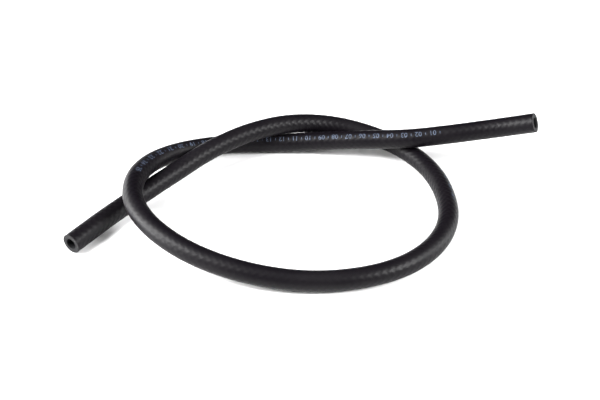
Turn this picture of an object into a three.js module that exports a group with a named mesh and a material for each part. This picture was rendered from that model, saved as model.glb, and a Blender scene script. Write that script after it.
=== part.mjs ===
// Fuel hose: one length of black, textile-reinforced rubber hose with both ends cut square,
// lying on a level surface in a loose overhand knot.
// Millimetres, +Z up. The origin is the middle of the footprint, on the surface it lies on.

import * as THREE from 'three';

// The hose's section
const outerDiameter = 13.5;
const wallThickness = 3;

// How finely the round section and the route are cut into flat faces
const sectionSides = 12;
const routeSteps = 64;

// The route of the middle line, from the end that lies flat to the end that is sprung up.
// Each point is [x, y, lift]. The lift is in outer diameters above lying on the surface:
// 0 where the hose lies on it, and a little over 1 where the hose passes over itself.
const route = [
  [-153, -46.5, 0],
  [-135, -20, 0.04],
  [-115.5, 5, 0.11],
  [-93.5, 27.5, 0.37],
  [-69.5, 47.5, 0.81],
  [-42.5, 64.5, 1.07],
  [-13.5, 77, 1.04],
  [17, 83, 0.67],
  [45, 78.5, 0.26],
  [68, 63.5, 0.04],
  [84, 39, 0],
  [91.5, 9, 0],
  [90.5, -21.5, 0],
  [78.5, -48.5, 0],
  [56.5, -69, 0],
  [26.5, -80.5, 0],
  [-8, -83, 0.04],
  [-43.5, -78, 0.3],
  [-76, -65.5, 0.67],
  [-101.5, -45.5, 1.04],
  [-115.5, -20, 1.22],
  [-116.5, 8.5, 1.15],
  [-105.5, 35.5, 0.81],
  [-83.5, 56.5, 0.41],
  [-54.5, 69, 0.11],
  [-22.5, 72, 0.04],
  [8.5, 69, 0.3],
  [39, 63, 0.67],
  [68, 57, 1.01],
  [92, 54.5, 1.33],
  [114.5, 53.5, 1.63],
  [135.5, 50, 2.05],
  [155, 42.5, 2.66],
];

// A ring: the round wall with the bore through it
function hoseSection() {
  const outerRadius = outerDiameter / 2;
  const boreRadius = outerRadius - wallThickness;
  const section = new THREE.Shape();
  section.absarc(0, 0, outerRadius, 0, 2 * Math.PI, false);
  const bore = new THREE.Path();
  bore.absarc(0, 0, boreRadius, 0, 2 * Math.PI, true);
  section.holes.push(bore);
  return section;
}

// One smooth curve through the points, each raised by the hose's own radius
function middleLine() {
  const points = route.map(([x, y, lift]) => new THREE.Vector3(x, y, (0.5 + lift) * outerDiameter));
  return new THREE.CatmullRomCurve3(points, false, 'catmullrom', 0.5);
}

function makeHose() {
  const geometry = new THREE.ExtrudeGeometry(hoseSection(), {
    steps: routeSteps,
    curveSegments: sectionSides / 2,
    extrudePath: middleLine(),
  });
  const blackRubber = new THREE.MeshStandardMaterial({ color: 0x242226, roughness: 0.5, metalness: 0 });
  const hose = new THREE.Mesh(geometry, blackRubber);
  hose.name = 'hose';
  return hose;
}

const part = new THREE.Group();
part.add(makeHose());

export default part;
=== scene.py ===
import math

import bmesh
import bpy
import numpy as np
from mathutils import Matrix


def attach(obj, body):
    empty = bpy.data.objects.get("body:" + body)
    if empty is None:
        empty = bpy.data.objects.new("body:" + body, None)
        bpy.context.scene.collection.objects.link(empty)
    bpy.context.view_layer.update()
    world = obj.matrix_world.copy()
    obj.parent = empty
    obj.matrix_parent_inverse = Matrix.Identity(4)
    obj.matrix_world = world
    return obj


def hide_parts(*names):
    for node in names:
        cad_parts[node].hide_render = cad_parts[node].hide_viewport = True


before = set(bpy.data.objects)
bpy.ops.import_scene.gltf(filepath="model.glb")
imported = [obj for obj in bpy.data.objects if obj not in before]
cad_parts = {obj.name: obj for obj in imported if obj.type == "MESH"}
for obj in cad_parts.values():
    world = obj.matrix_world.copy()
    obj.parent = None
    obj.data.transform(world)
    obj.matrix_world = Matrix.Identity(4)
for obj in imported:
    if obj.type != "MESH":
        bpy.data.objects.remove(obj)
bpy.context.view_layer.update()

print("frame loaded")


# camera, at the photograph's viewing angle

cameraValues = {
    "place": (-0.0070, -0.5462, 0.4037),  # metres, in front of the knot and above it
    "downAngle": 35.94,  # degrees below the horizon
    "focalPixels": 1000.0,  # for a picture 600 pixels wide
    "pictureWidth": 600.0,
}


def makeCamera(values):
    data = bpy.data.cameras.new("camera")
    data.sensor_width = 36.0
    data.lens = data.sensor_width * values["focalPixels"] / values["pictureWidth"]
    data.clip_start = 0.01
    data.clip_end = 20.0
    camera = bpy.data.objects.new("camera", data)
    camera.location = values["place"]
    camera.rotation_euler = (math.radians(90.0 - values["downAngle"]), 0.0, 0.0)
    bpy.context.scene.collection.objects.link(camera)
    bpy.context.scene.camera = camera


makeCamera(cameraValues)
print("camera placed")


# the hose: metres throughout

hoseValues = {
    "outerDiameter": 0.0135,
    "wall": 0.003,
    "ringStep": 0.0006,  # along the outside
    "boreStep": 0.010,  # along the bore
    "sides": 56,
    "smoothing": 0.006,  # evens out the bends where two spans of the curve meet
    "plaits": 8,  # plaits of the braid each way round
    "plaitLead": 0.038,  # the length in which a plait winds once round
    "plaitHeight": 0.00006,  # how far the braid shows through the cover
    "edgeRounding": 0.00018,  # where the knife cut the ends
}

# The middle line's route, the same points as in the part's source: x, y and the lift in outer
# diameters above lying on the floor.
route = [
    (-0.153, -0.0465, 0.0),
    (-0.135, -0.02, 0.04),
    (-0.1155, 0.005, 0.11),
    (-0.0935, 0.0275, 0.37),
    (-0.0695, 0.0475, 0.81),
    (-0.0425, 0.0645, 1.07),
    (-0.0135, 0.077, 1.04),
    (0.017, 0.083, 0.67),
    (0.045, 0.0785, 0.26),
    (0.068, 0.0635, 0.04),
    (0.084, 0.039, 0.0),
    (0.0915, 0.009, 0.0),
    (0.0905, -0.0215, 0.0),
    (0.0785, -0.0485, 0.0),
    (0.0565, -0.069, 0.0),
    (0.0265, -0.0805, 0.0),
    (-0.008, -0.083, 0.04),
    (-0.0435, -0.078, 0.3),
    (-0.076, -0.0655, 0.67),
    (-0.1015, -0.0455, 1.04),
    (-0.1155, -0.02, 1.22),
    (-0.1165, 0.0085, 1.15),
    (-0.1055, 0.0355, 0.81),
    (-0.0835, 0.0565, 0.41),
    (-0.0545, 0.069, 0.11),
    (-0.0225, 0.072, 0.04),
    (0.0085, 0.069, 0.3),
    (0.039, 0.063, 0.67),
    (0.068, 0.057, 1.01),
    (0.092, 0.0545, 1.33),
    (0.1145, 0.0535, 1.63),
    (0.1355, 0.05, 2.05),
    (0.155, 0.0425, 2.66),
]


def smoothThrough(points, perSpan=40):
    # Between two points p1 and p2 the curve is the cubic that leaves p1 along (p2 - p0) / 2
    # and reaches p2 along (p3 - p1) / 2. Past the ends the list goes on straight.
    longer = np.vstack([2 * points[0] - points[1], points, 2 * points[-1] - points[-2]])
    p0, p1, p2, p3 = longer[:-3], longer[1:-2], longer[2:-1], longer[3:]
    t = (np.arange(perSpan) / perSpan)[None, :, None]
    leave = (p2 - p0)[:, None, :] / 2
    reach = (p3 - p1)[:, None, :] / 2
    curve = ((2 * t**3 - 3 * t**2 + 1) * p1[:, None, :] + (t**3 - 2 * t**2 + t) * leave
             + (3 * t**2 - 2 * t**3) * p2[:, None, :] + (t**3 - t**2) * reach)
    return np.vstack([curve.reshape(-1, 3), points[-1:]])


def runningLength(curve):
    # Length up to each point = the sum of the straight steps before it
    steps = np.linalg.norm(np.diff(curve, axis=0), axis=1)
    return np.concatenate([[0.0], np.cumsum(steps)])


def atLengths(curve, lengths):
    # The points that lie at the given lengths along the curve, straight between its own points
    run = runningLength(curve)
    return np.stack([np.interp(lengths, run, curve[:, axis]) for axis in range(3)], axis=1)


def middleLine(values, step):
    # The points are raised by the hose's radius and joined by a smooth curve, which is then
    # read at even steps and averaged with a bell-shaped window. Odd mirroring keeps its ends.
    points = np.array(route)
    points[:, 2] = (0.5 + points[:, 2]) * values["outerDiameter"]
    curve = smoothThrough(points)
    total = runningLength(curve)[-1]
    count = int(round(total / step)) + 1
    even = atLengths(curve, np.linspace(0.0, total, count))
    reach = int(3 * values["smoothing"] / step)
    offsets = np.arange(-reach, reach + 1) * step
    window = np.exp(-0.5 * (offsets / values["smoothing"]) ** 2)
    window /= window.sum()
    before = 2 * even[0] - even[1:reach + 1][::-1]
    after = 2 * even[-1] - even[-reach - 1:-1][::-1]
    padded = np.vstack([before, even, after])
    return np.stack([np.convolve(padded[:, axis], window, mode="valid") for axis in range(3)], axis=1)


def framesAlong(line):
    # Side is level and to the left of the line's own direction, top = direction x side.
    forward = np.gradient(line, axis=0)
    forward /= np.linalg.norm(forward, axis=1)[:, None]
    side = np.cross(np.array([0.0, 0.0, 1.0]), forward)
    side /= np.linalg.norm(side, axis=1)[:, None]
    top = np.cross(forward, side)
    return side, top


def braidRelief(run, angle, values):
    # Two families of threads wind round the hose, one each way, and pass over and under each other
    # in turn: relief = over * ridge(first) + (1 - over) * ridge(second), with ridge = (1 + cos) / 2.
    wind = 2 * np.pi * run / values["plaitLead"]
    first = values["plaits"] * (angle + wind)
    second = values["plaits"] * (angle - wind)
    over = 0.5 + 0.5 * np.cos(first / 2) * np.cos(second / 2)
    relief = over * (0.5 + 0.5 * np.cos(first)) + (1 - over) * (0.5 + 0.5 * np.cos(second))
    return (relief - 0.5) * values["plaitHeight"]


def onHose(line, run, angle, radius):
    # Point = middle line at that run + radius * (cos(angle) * side + sin(angle) * top)
    side, top = framesAlong(line)
    along = runningLength(line)
    pick = [np.stack([np.interp(run, along, field[:, axis]) for axis in range(3)], axis=-1)
            for field in (line, side, top)]
    turn = np.cos(angle)[..., None] * pick[1] + np.sin(angle)[..., None] * pick[2]
    return pick[0] + radius[..., None] * turn


def gridMesh(name, points, loopsRound):
    # points is a grid of rings by places round. Rings join to the next one, and the last to the
    # first where loopsRound is set, so the surface closes on itself.
    rings, sides = points.shape[:2]
    mesh = bpy.data.meshes.new(name)
    ringCount = rings if loopsRound else rings - 1
    ring = np.repeat(np.arange(ringCount), sides)
    place = np.tile(np.arange(sides), ringCount)
    nextRing = (ring + 1) % rings
    nextPlace = (place + 1) % sides
    faces = np.stack([ring * sides + place, ring * sides + nextPlace,
                      nextRing * sides + nextPlace, nextRing * sides + place], axis=1)
    faceCount = len(faces)
    mesh.vertices.add(rings * sides)
    mesh.vertices.foreach_set("co", points.reshape(-1).astype(np.float32))
    mesh.loops.add(faceCount * 4)
    mesh.loops.foreach_set("vertex_index", faces.reshape(-1).astype(np.int32))
    mesh.polygons.add(faceCount)
    mesh.polygons.foreach_set("loop_start", (np.arange(faceCount) * 4).astype(np.int32))
    mesh.update(calc_edges=True)
    mesh.validate()
    return mesh, ring, place


def makeHose(values):
    line = middleLine(values, values["ringStep"])
    total = runningLength(line)[-1]
    outer = values["outerDiameter"] / 2
    bore = outer - values["wall"]
    edge = values["edgeRounding"]
    bend = np.linspace(0.0, np.pi / 2, 4)
    # One ring profile after another: the outside from end to end, round the far edge, in over the
    # far cut face, back along the bore, and out over the near cut face.
    outsideRun = np.linspace(edge, total - edge, len(line))
    farEdge = total - edge + edge * np.sin(bend[1:])
    farEdgeRadius = outer - edge + edge * np.cos(bend[1:])
    faceRadius = np.linspace(outer - edge, bore + edge, 7)[1:-1]
    faceRun = np.full(len(faceRadius), total)
    farLip = total - edge + edge * np.cos(bend)
    farLipRadius = bore + edge - edge * np.sin(bend)
    boreCount = int(total / values["boreStep"])
    boreRun = np.linspace(total - edge, edge, boreCount)[1:-1]
    run = np.concatenate([outsideRun, farEdge, faceRun, farLip, boreRun,
                          total - farLip[::-1], total - faceRun, total - farEdge[::-1]])
    radius = np.concatenate([np.full(len(outsideRun), outer), farEdgeRadius, faceRadius, farLipRadius,
                             np.full(len(boreRun), bore), farLipRadius[::-1], faceRadius[::-1],
                             farEdgeRadius[::-1]])
    sides = values["sides"]
    angle = np.arange(sides) * 2 * np.pi / sides
    runGrid, angleGrid = np.meshgrid(run, angle, indexing="ij")
    onSkin = np.clip((radius - outer + 2 * edge) / edge, 0.0, 1.0)[:, None]
    radiusGrid = radius[:, None] + onSkin * braidRelief(runGrid, angleGrid, values)
    points = onHose(line, runGrid, angleGrid, radiusGrid)
    mesh, ring, place = gridMesh("hose_skin", points, True)
    # The map's first number counts the braid's turns along the hose, its second is the turn round it.
    # On the cut faces the first number is the radius in millimetres instead.
    onFace = (radius < outer - 0.5 * edge) & (radius > bore + 0.5 * edge)
    ringB = (ring + 1) % len(run)
    faceIsCut = onFace[ring] | onFace[ringB]
    first = np.where(faceIsCut, radius[ring] * 1000, run[ring] / values["plaitLead"])
    second = np.where(faceIsCut, radius[ringB] * 1000, run[ringB] / values["plaitLead"])
    low = place / sides
    high = (place + 1) / sides
    uv = np.stack([first, low, first, high, second, high, second, low], axis=1)
    layer = mesh.uv_layers.new(name="around")
    layer.data.foreach_set("uv", uv.reshape(-1).astype(np.float32))
    inBore = radius < bore + 0.5 * edge
    # slot 0 is the cover, 1 a cut face, 2 the bore
    slot = np.where(faceIsCut, 1, np.where(inBore[ring] & inBore[ringB], 2, 0))
    mesh.polygons.foreach_set("material_index", slot.astype(np.int32))
    mesh.polygons.foreach_set("use_smooth", np.ones(len(slot), dtype=bool))
    hose = bpy.data.objects.new("hose_skin", mesh)
    bpy.context.scene.collection.objects.link(hose)
    return hose, line


hose, hoseLine = makeHose(hoseValues)
hoseLength = float(runningLength(hoseLine)[-1])
print("hose made,", round(hoseLength, 4), "m long,", len(hose.data.polygons) * 2, "triangles")


# the printed line along the hose: plain centimetre numbers, as on a measured hose

printValues = {
    "runs": [(0.931, 0.668), (0.365, 0.075)],  # shares of the length, read from the first to the second
    "numberStep": 0.010,
    "digitHeight": 0.0035,
    "digitShare": 0.70,  # a digit's height as a share of the font's size
    "tickLength": 0.0018,
    "tickWidth": 0.0004,
    # where the line lies round the hose: a share of the length, and degrees up from the left side
    "lineAt": [(0.0, -5.0), (0.365, 52.0), (0.668, 107.0), (0.720, 112.0), (0.770, 123.0),
               (0.931, 127.0)],
    "proud": 0.00003,  # how far the ink stands off the rubber
    "longestEdge": 0.0007,  # short enough to bend round the hose
}


def flatPrint(values):
    # Every number and tick as one flat mesh: x is the place along the line of print, y the place
    # across it, and z says which run it belongs to.
    vertices = []
    faces = []
    start = 0
    marks = []
    for runIndex, (fromShare, toShare) in enumerate(values["runs"]):
        length = abs(toShare - fromShare) * hoseLength
        count = int(length / values["numberStep"])
        marks += [(runIndex, k, f"{k + 1:02d}") for k in range(count)]
    for runIndex, k, words in marks:
        curve = bpy.data.curves.new("digits", "FONT")
        curve.body = words
        curve.size = values["digitHeight"] / values["digitShare"]
        curve.align_x = "CENTER"
        curve.resolution_u = 3
        holder = bpy.data.objects.new("digits", curve)
        mesh = bpy.data.meshes.new_from_object(holder)
        flat = np.zeros(len(mesh.vertices) * 3)
        mesh.vertices.foreach_get("co", flat)
        flat = flat.reshape(-1, 3)[:, :2]
        flat[:, 0] += (k + 0.5) * values["numberStep"]
        flat[:, 1] -= values["digitHeight"] / 2
        vertices.append(np.column_stack([flat, np.full(len(flat), runIndex)]))
        faces += [[start + v for v in polygon.vertices] for polygon in mesh.polygons]
        start += len(flat)
        bpy.data.objects.remove(holder)
        bpy.data.curves.remove(curve)
        bpy.data.meshes.remove(mesh)
        half = values["tickLength"] / 2
        x = k * values["numberStep"]
        wide = values["tickWidth"] / 2
        corners = np.array([(x - wide, -half), (x + wide, -half), (x + wide, half), (x - wide, half)])
        vertices.append(np.column_stack([corners, np.full(4, runIndex)]))
        faces.append([start, start + 1, start + 2, start + 3])
        start += 4
    return np.vstack(vertices), faces


def makePrint(values):
    flat, faces = flatPrint(values)
    mesh = bpy.data.meshes.new("length_marks")
    mesh.from_pydata([(float(x), float(y), float(z)) for x, y, z in flat], [], faces)
    splitLongEdges(mesh, values["longestEdge"])
    place = np.zeros(len(mesh.vertices) * 3)
    mesh.vertices.foreach_get("co", place)
    place = place.reshape(-1, 3)
    starts = np.array([pair[0] for pair in values["runs"]]) * hoseLength
    run = starts[np.rint(place[:, 2]).astype(int)] - place[:, 0]
    # The line winds slowly round the hose, and a digit's own height turns into an angle by
    # height / radius. Reading runs back along the hose, so a digit's top is to the hose's right.
    shares, degrees = zip(*values["lineAt"])
    outer = hoseValues["outerDiameter"] / 2
    angle = np.radians(np.interp(run / hoseLength, shares, degrees)) + place[:, 1] / outer
    radius = outer + braidRelief(run, angle, hoseValues) + values["proud"]
    wrapped = onHose(hoseLine, run, angle, radius)
    mesh.vertices.foreach_set("co", wrapped.reshape(-1).astype(np.float32))
    mesh.update()
    marks = bpy.data.objects.new("length_marks", mesh)
    bpy.context.scene.collection.objects.link(marks)
    return marks


def splitLongEdges(mesh, longest):
    # Halve each edge that is too long, and cut the faces into triangles again, up to four times.
    work = bmesh.new()
    work.from_mesh(mesh)
    bmesh.ops.triangulate(work, faces=work.faces[:])
    for _ in range(4):
        long = [edge for edge in work.edges if edge.calc_length() > longest]
        if not long:
            break
        bmesh.ops.subdivide_edges(work, edges=long, cuts=1)
        bmesh.ops.triangulate(work, faces=work.faces[:])
    work.to_mesh(mesh)
    work.free()
    # Cutting can make the same triangle twice where a digit is very thin. This takes the second away.
    mesh.validate()


marks = makePrint(printValues)
print("length marks made,", len(marks.data.polygons), "triangles")


# finishes

class Nodes:
    # a short way of writing a node tree
    def __init__(self, material):
        material.use_nodes = True
        self.tree = material.node_tree
        self.shader = self.tree.nodes["Principled BSDF"]

    def add(self, kind, **settings):
        node = self.tree.nodes.new(kind)
        for key, value in settings.items():
            setattr(node, key, value)
        return node

    def link(self, source, target):
        self.tree.links.new(source, target)

    def math(self, operation, first, second=None):
        node = self.add("ShaderNodeMath", operation=operation)
        for socket, value in zip(node.inputs, (first, second)):
            if value is None:
                continue
            if isinstance(value, (int, float)):
                socket.default_value = value
            else:
                self.link(value, socket)
        return node.outputs[0]

    def noise(self, coordinates, scale, detail=3.0, roughness=0.5):
        node = self.add("ShaderNodeTexNoise")
        node.inputs["Scale"].default_value = scale
        node.inputs["Detail"].default_value = detail
        node.inputs["Roughness"].default_value = roughness
        self.link(coordinates, node.inputs["Vector"])
        return node.outputs["Fac"]

    def mapRange(self, value, fromLow, fromHigh, toLow, toHigh):
        node = self.add("ShaderNodeMapRange")
        for socket, number in zip(node.inputs[1:5], (fromLow, fromHigh, toLow, toHigh)):
            socket.default_value = number
        self.link(value, node.inputs[0])
        return node.outputs[0]

    def mixColour(self, factor, first, second):
        node = self.add("ShaderNodeMix", data_type="RGBA")
        self.link(factor, node.inputs["Factor"])
        for name, value in (("A", first), ("B", second)):
            socket = [s for s in node.inputs if s.name == name and s.type == "RGBA"][0]
            if isinstance(value, tuple):
                socket.default_value = (*value, 1.0)
            else:
                self.link(value, socket)
        return [s for s in node.outputs if s.type == "RGBA"][0]

    def bump(self, height, strength, distance):
        node = self.add("ShaderNodeBump")
        node.inputs["Strength"].default_value = strength
        node.inputs["Distance"].default_value = distance
        self.link(height, node.inputs["Height"])
        self.link(node.outputs["Normal"], self.shader.inputs["Normal"])


coverValues = {
    "base": (0.0019, 0.0014, 0.0023),
    "worn": (0.0034, 0.0028, 0.0037),
    "clouds": (38.0, 4.0, 0.55),  # scale, detail and roughness of the noise between the two colours
    "grain": (900.0, 3.0, 0.6),
    "roughness": (0.38, 0.48),
    "specular": 0.11,
    "bump": 0.6,
    "bumpDistance": 0.0001,
    "ribHeight": 0.6,  # the braid's part in the bump
    "grainHeight": 0.9,
    "strands": 4,  # fine strands in a plait
    "strandHeight": 0.22,
    "ribsEverywhere": 0.6,
    # how much more the ribs show near an end, and the metres along the hose between which that changes
    "ribsNearStart": (1.1, 0.36, 0.48),
    "ribsNearEnd": (0.6, 0.70, 0.78),
}


def braidHeight(nodes, values):
    # Height = over * (ridge + strands) of the one family of plaits + (1 - over) * that of the other,
    # with ridge = cos(phase), strands = a small cos(4 * phase), and over as in braidRelief.
    uv = nodes.add("ShaderNodeUVMap", uv_map="around")
    split = nodes.add("ShaderNodeSeparateXYZ")
    nodes.link(uv.outputs["UV"], split.inputs["Vector"])
    wind, turn = split.outputs["X"], split.outputs["Y"]
    heights = []
    phases = []
    for operation in ("ADD", "SUBTRACT"):
        total = nodes.math(operation, turn, wind)
        phases.append(nodes.math("MULTIPLY", total, 2 * math.pi * hoseValues["plaits"]))
    half = [nodes.math("COSINE", nodes.math("MULTIPLY", phase, 0.5)) for phase in phases]
    over = nodes.math("ADD", nodes.math("MULTIPLY", nodes.math("MULTIPLY", half[0], half[1]), 0.5), 0.5)
    under = nodes.math("SUBTRACT", 1.0, over)
    for phase, weight in zip(phases, (over, under)):
        ridge = nodes.math("COSINE", phase)
        fine = nodes.math("COSINE", nodes.math("MULTIPLY", phase, values["strands"]))
        strands = nodes.math("MULTIPLY", fine, values["strandHeight"])
        heights.append(nodes.math("MULTIPLY", nodes.math("ADD", ridge, strands), weight))
    # The ribs stand out most near both ends, and least in the tight bend on the left of the loop.
    lead = hoseValues["plaitLead"]
    more, fromPlace, toPlace = values["ribsNearStart"]
    nearStart = nodes.mapRange(wind, fromPlace / lead, toPlace / lead, more, 0.0)
    more, fromPlace, toPlace = values["ribsNearEnd"]
    nearEnd = nodes.mapRange(wind, fromPlace / lead, toPlace / lead, 0.0, more)
    strength = nodes.math("ADD", nodes.math("ADD", nearStart, nearEnd), values["ribsEverywhere"])
    return nodes.math("MULTIPLY", nodes.math("ADD", heights[0], heights[1]), strength)


def coverRubber(values):
    material = bpy.data.materials.new("black_rubber_cover")
    nodes = Nodes(material)
    place = nodes.add("ShaderNodeTexCoord").outputs["Object"]
    clouds = nodes.noise(place, *values["clouds"])
    grain = nodes.noise(place, *values["grain"])
    braid = braidHeight(nodes, values)
    colour = nodes.mixColour(nodes.mapRange(clouds, 0.38, 0.66, 0.0, 1.0), values["base"], values["worn"])
    nodes.link(colour, nodes.shader.inputs["Base Color"])
    low, high = values["roughness"]
    nodes.link(nodes.mapRange(grain, 0.3, 0.7, low, high), nodes.shader.inputs["Roughness"])
    height = nodes.math("ADD", nodes.math("MULTIPLY", braid, values["ribHeight"]),
                        nodes.math("MULTIPLY", grain, values["grainHeight"]))
    nodes.bump(height, values["bump"], values["bumpDistance"])
    nodes.shader.inputs["Specular IOR Level"].default_value = values["specular"]
    return material


cutFaceValues = {
    "rubber": ((0.005, 0.005, 0.0053), (0.011, 0.0107, 0.0115)),
    "thread": (0.09, 0.09, 0.095),
    "threadShare": 0.5,
    "threadRing": 5.55,  # radius in millimetres
    "threadEdge": (0.16, 0.36),  # millimetres from that ring
    "threadEnds": 24,
    "roughness": 0.78,
    "specular": 0.15,
    "bump": 0.6,
    "bumpDistance": 0.00012,
}


def cutRubber(values):
    # A knife-cut wall: matt, a little lighter, with the pale ends of the braid's threads in a ring
    material = bpy.data.materials.new("cut_rubber")
    nodes = Nodes(material)
    place = nodes.add("ShaderNodeTexCoord").outputs["Object"]
    uv = nodes.add("ShaderNodeUVMap", uv_map="around")
    split = nodes.add("ShaderNodeSeparateXYZ")
    nodes.link(uv.outputs["UV"], split.inputs["Vector"])
    radius, turn = split.outputs["X"], split.outputs["Y"]
    grain = nodes.noise(place, 1500.0, 4.0, 0.65)
    patches = nodes.noise(place, 420.0, 2.0, 0.5)
    fromRing = nodes.math("ABSOLUTE", nodes.math("SUBTRACT", radius, values["threadRing"]))
    inRing = nodes.mapRange(fromRing, *values["threadEdge"], 1.0, 0.0)
    spots = nodes.math("COSINE", nodes.math("MULTIPLY", turn, 2 * math.pi * values["threadEnds"]))
    inSpot = nodes.mapRange(spots, 0.1, 0.7, 0.0, 1.0)
    frayed = nodes.mapRange(patches, 0.45, 0.60, 0.15, 1.0)
    thread = nodes.math("MULTIPLY", nodes.math("MULTIPLY", inRing, inSpot), frayed)
    shown = nodes.math("MULTIPLY", thread, values["threadShare"])
    colour = nodes.mixColour(shown, nodes.mixColour(grain, *values["rubber"]), values["thread"])
    nodes.link(colour, nodes.shader.inputs["Base Color"])
    nodes.shader.inputs["Roughness"].default_value = values["roughness"]
    nodes.shader.inputs["Specular IOR Level"].default_value = values["specular"]
    nodes.bump(nodes.math("ADD", grain, shown), values["bump"], values["bumpDistance"])
    return material


boreValues = {
    "rubber": ((0.005, 0.005, 0.0055), (0.010, 0.010, 0.011)),
    "roughness": (0.42, 0.56),
    "specular": 0.12,
}


def boreRubber(values):
    # The bore's own skin: dark, with soft clouds
    material = bpy.data.materials.new("bore_rubber")
    nodes = Nodes(material)
    place = nodes.add("ShaderNodeTexCoord").outputs["Object"]
    clouds = nodes.noise(place, 260.0, 3.0, 0.5)
    nodes.link(nodes.mixColour(clouds, *values["rubber"]), nodes.shader.inputs["Base Color"])
    nodes.link(nodes.mapRange(clouds, 0.3, 0.7, *values["roughness"]), nodes.shader.inputs["Roughness"])
    nodes.shader.inputs["Specular IOR Level"].default_value = values["specular"]
    return material


inkValues = {
    "thick": (0.070, 0.087, 0.125),
    "thin": (0.020, 0.024, 0.034),
    "roughness": (0.5, 0.62),
    "specular": 0.1,
}


def printInk(values):
    # Pale blue-grey ink, thinner where the cover's ribs took less of it
    material = bpy.data.materials.new("print_ink")
    nodes = Nodes(material)
    place = nodes.add("ShaderNodeTexCoord").outputs["Object"]
    patchy = nodes.noise(place, 700.0, 4.0, 0.6)
    wear = nodes.mapRange(patchy, 0.35, 0.68, 0.0, 1.0)
    nodes.link(nodes.mixColour(wear, values["thick"], values["thin"]), nodes.shader.inputs["Base Color"])
    nodes.link(nodes.mapRange(patchy, 0.3, 0.7, *values["roughness"]), nodes.shader.inputs["Roughness"])
    nodes.shader.inputs["Specular IOR Level"].default_value = values["specular"]
    return material


hose.data.materials.append(coverRubber(coverValues))
hose.data.materials.append(cutRubber(cutFaceValues))
hose.data.materials.append(boreRubber(boreValues))
marks.data.materials.append(printInk(inkValues))
print("finishes made")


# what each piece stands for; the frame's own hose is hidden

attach(hose, "root")
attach(marks, "root")
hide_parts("hose")
print("hose declared")


# floor and light

studioValues = {
    "floorSize": 6.0,
    "floorColour": (0.68, 0.68, 0.68),
    "floorRoughness": 0.9,
    "sky": 0.0,  # none, so that the black rubber stays dark
    "lightDistance": 1.2,
    "lights": [
        # name, degrees from the back towards the right, degrees up, width and height, watts
        ("left_light", -80.0, 11.0, (0.40, 0.35), 15.0),
        ("front_left_low_light", -106.0, 12.0, (0.40, 0.35), 19.0),
        ("back_left_light", -50.0, 9.0, (0.40, 0.30), 4.0),
        ("left_middle_light", -95.0, 28.0, (0.50, 0.50), 18.0),
        ("front_left_light", -114.0, 46.0, (0.50, 0.50), 30.0),
        ("right_light", 117.0, 34.0, (0.45, 0.45), 29.0),
        ("right_middle_light", 84.0, 36.0, (0.40, 0.40), 6.0),
        ("back_right_light", 80.0, 9.0, (0.40, 0.30), 7.6),
        ("upper_left_light", -90.0, 72.0, (0.50, 0.50), 2.2),
        ("overhead_light", 0.0, 89.9, (1.20, 1.20), 1.5),
    ],
}


def makeStudio(values):
    half = values["floorSize"] / 2
    mesh = bpy.data.meshes.new("floor")
    mesh.from_pydata([(-half, -half, 0.0), (half, -half, 0.0), (half, half, 0.0), (-half, half, 0.0)], [],
                     [(0, 1, 2, 3)])
    floor = bpy.data.objects.new("floor", mesh)
    bpy.context.scene.collection.objects.link(floor)
    material = bpy.data.materials.new("floor")
    nodes = Nodes(material)
    nodes.shader.inputs["Base Color"].default_value = (*values["floorColour"], 1.0)
    nodes.shader.inputs["Roughness"].default_value = values["floorRoughness"]
    nodes.shader.inputs["Specular IOR Level"].default_value = 0.1
    mesh.materials.append(material)
    world = bpy.data.worlds.new("studio")
    world.use_nodes = True
    world.node_tree.nodes["Background"].inputs["Color"].default_value = (1.0, 1.0, 1.0, 1.0)
    world.node_tree.nodes["Background"].inputs["Strength"].default_value = values["sky"]
    bpy.context.scene.world = world
    for name, turnDegrees, riseDegrees, size, watts in values["lights"]:
        data = bpy.data.lights.new(name, "AREA")
        data.shape = "RECTANGLE"
        data.size, data.size_y = size
        data.energy = watts
        light = bpy.data.objects.new(name, data)
        # each light stands on a sphere round the object and faces its middle
        turn = math.radians(turnDegrees)
        rise = math.radians(riseDegrees)
        level = values["lightDistance"] * math.cos(rise)
        height = values["lightDistance"] * math.sin(rise)
        light.location = (level * math.sin(turn), level * math.cos(turn), height)
        light.rotation_euler = (math.pi / 2 - rise, 0.0, math.pi - turn)
        bpy.context.scene.collection.objects.link(light)
    bpy.context.scene.view_settings.view_transform = "Standard"


makeStudio(studioValues)
print("studio made")
